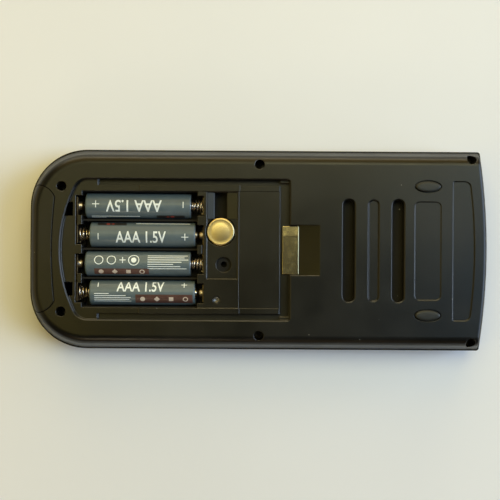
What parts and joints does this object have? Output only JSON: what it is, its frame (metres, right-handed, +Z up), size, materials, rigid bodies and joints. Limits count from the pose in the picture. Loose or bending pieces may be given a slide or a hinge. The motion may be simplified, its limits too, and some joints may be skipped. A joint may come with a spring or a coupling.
{
  "type": "electronic chess computer",
  "caption": "Handheld chess computer lying on its front: rounded grip end, open battery bay with cells and springs, coin cell pocket, finger notch, slots, display and sprung keys.",
  "frame": {"origin": "On the table under the middle of the case, which lies on its front.", "axes": "+X along the case towards the display end, +Y across it, +Z up out of the back."},
  "size_m": [0.1932, 0.084, 0.0269],
  "materials": {
    "case": "fine satin texture",
    "grip": "smooth soft-touch",
    "foot": "matte",
    "latch": "bright sheet",
    "cell_wrap": "satin printed wrap",
    "coin": "bright",
    "contact": "plated sheet",
    "spring": "plated wire",
    "screw": "blackened",
    "window": "clear lens",
    "glass": "grey-green display",
    "inner_frame": "moulded",
    "elastomer": "silicone",
    "board": "solder mask",
    "resin": "resin drop",
    "component": "moulded",
    "reset": "bright pin",
    "key": "moulded"
  },
  "bodies": {
    "case": {"board_screws": "screw", "buzzer": "component", "capacitors": "component", "case_screws": "screw", "coin_contact_base": "contact", "coin_contact_side": "contact", "contact_left_lower": "contact", "contact_left_upper": "contact", "contact_right_lower": "contact", "contact_right_middle": "contact", "contact_right_upper": "contact", "crystal": "component", "display_frame": "inner_frame", "display_glass": "glass", "display_window": "window", "foot_lower": "foot", "foot_upper": "foot", "front_cover": "case", "grip_pad": "grip", "key_mat": "elastomer", "latch_plate": "latch", "main_board": "board", "processor": "resin", "rear_cover": "case", "reset_switch": "component", "resistors": "component", "spring_1": "spring", "spring_2": "spring", "spring_3": "spring", "spring_4": "spring", "zebra_lower": "elastomer", "zebra_upper": "elastomer"},
    "key_down_body": {"key_down": "key"},
    "key_enter_body": {"key_enter": "key"},
    "key_function_far_1_body": {"key_function_far_1": "key"},
    "key_function_far_2_body": {"key_function_far_2": "key"},
    "key_function_far_3_body": {"key_function_far_3": "key"},
    "key_function_far_4_body": {"key_function_far_4": "key"},
    "key_function_near_1_body": {"key_function_near_1": "key"},
    "key_function_near_2_body": {"key_function_near_2": "key"},
    "key_function_near_3_body": {"key_function_near_3": "key"},
    "key_function_near_4_body": {"key_function_near_4": "key"},
    "key_left_body": {"key_left": "key"},
    "key_right_body": {"key_right": "key"},
    "key_up_body": {"key_up": "key"},
    "reset_body": {"reset_button": "reset"},
    "cell_1_body": {"cell_1": "cell_wrap"},
    "cell_2_body": {"cell_2": "cell_wrap"},
    "cell_3_body": {"cell_3": "cell_wrap"},
    "cell_4_body": {"cell_4": "cell_wrap"},
    "coin_body": {"coin_cell": "coin"}
  },
  "joints": [
    {"name": "key_down_press", "type": "slide", "parent": "case", "child": "key_down_body", "axis": [0, 0, 1], "range_m": [0, 0.0008], "stiffness_N_per_m": 1800},
    {"name": "key_enter_press", "type": "slide", "parent": "case", "child": "key_enter_body", "axis": [0, 0, 1], "range_m": [0, 0.0008], "stiffness_N_per_m": 1800},
    {"name": "key_function_far_1_press", "type": "slide", "parent": "case", "child": "key_function_far_1_body", "axis": [0, 0, 1], "range_m": [0, 0.0008], "stiffness_N_per_m": 1800},
    {"name": "key_function_far_2_press", "type": "slide", "parent": "case", "child": "key_function_far_2_body", "axis": [0, 0, 1], "range_m": [0, 0.0008], "stiffness_N_per_m": 1800},
    {"name": "key_function_far_3_press", "type": "slide", "parent": "case", "child": "key_function_far_3_body", "axis": [0, 0, 1], "range_m": [0, 0.0008], "stiffness_N_per_m": 1800},
    {"name": "key_function_far_4_press", "type": "slide", "parent": "case", "child": "key_function_far_4_body", "axis": [0, 0, 1], "range_m": [0, 0.0008], "stiffness_N_per_m": 1800},
    {"name": "key_function_near_1_press", "type": "slide", "parent": "case", "child": "key_function_near_1_body", "axis": [0, 0, 1], "range_m": [0, 0.0008], "stiffness_N_per_m": 1800},
    {"name": "key_function_near_2_press", "type": "slide", "parent": "case", "child": "key_function_near_2_body", "axis": [0, 0, 1], "range_m": [0, 0.0008], "stiffness_N_per_m": 1800},
    {"name": "key_function_near_3_press", "type": "slide", "parent": "case", "child": "key_function_near_3_body", "axis": [0, 0, 1], "range_m": [0, 0.0008], "stiffness_N_per_m": 1800},
    {"name": "key_function_near_4_press", "type": "slide", "parent": "case", "child": "key_function_near_4_body", "axis": [0, 0, 1], "range_m": [0, 0.0008], "stiffness_N_per_m": 1800},
    {"name": "key_left_press", "type": "slide", "parent": "case", "child": "key_left_body", "axis": [0, 0, 1], "range_m": [0, 0.0008], "stiffness_N_per_m": 1800},
    {"name": "key_right_press", "type": "slide", "parent": "case", "child": "key_right_body", "axis": [0, 0, 1], "range_m": [0, 0.0008], "stiffness_N_per_m": 1800},
    {"name": "key_up_press", "type": "slide", "parent": "case", "child": "key_up_body", "axis": [0, 0, 1], "range_m": [0, 0.0008], "stiffness_N_per_m": 1800},
    {"name": "reset_press", "type": "slide", "parent": "case", "child": "reset_body", "axis": [0, 0, -1], "range_m": [0, 0.0006], "stiffness_N_per_m": 2400},
    {"name": "cell_1_lift", "type": "slide", "parent": "case", "child": "cell_1_body", "axis": [0, 0, 1], "range_m": [0, 0.03]},
    {"name": "cell_2_lift", "type": "slide", "parent": "case", "child": "cell_2_body", "axis": [0, 0, 1], "range_m": [0, 0.03]},
    {"name": "cell_3_lift", "type": "slide", "parent": "case", "child": "cell_3_body", "axis": [0, 0, 1], "range_m": [0, 0.03]},
    {"name": "cell_4_lift", "type": "slide", "parent": "case", "child": "cell_4_body", "axis": [0, 0, 1], "range_m": [0, 0.03]},
    {"name": "coin_lift", "type": "slide", "parent": "case", "child": "coin_body", "axis": [0, 0, 1], "range_m": [0, 0.02]}
  ]
}
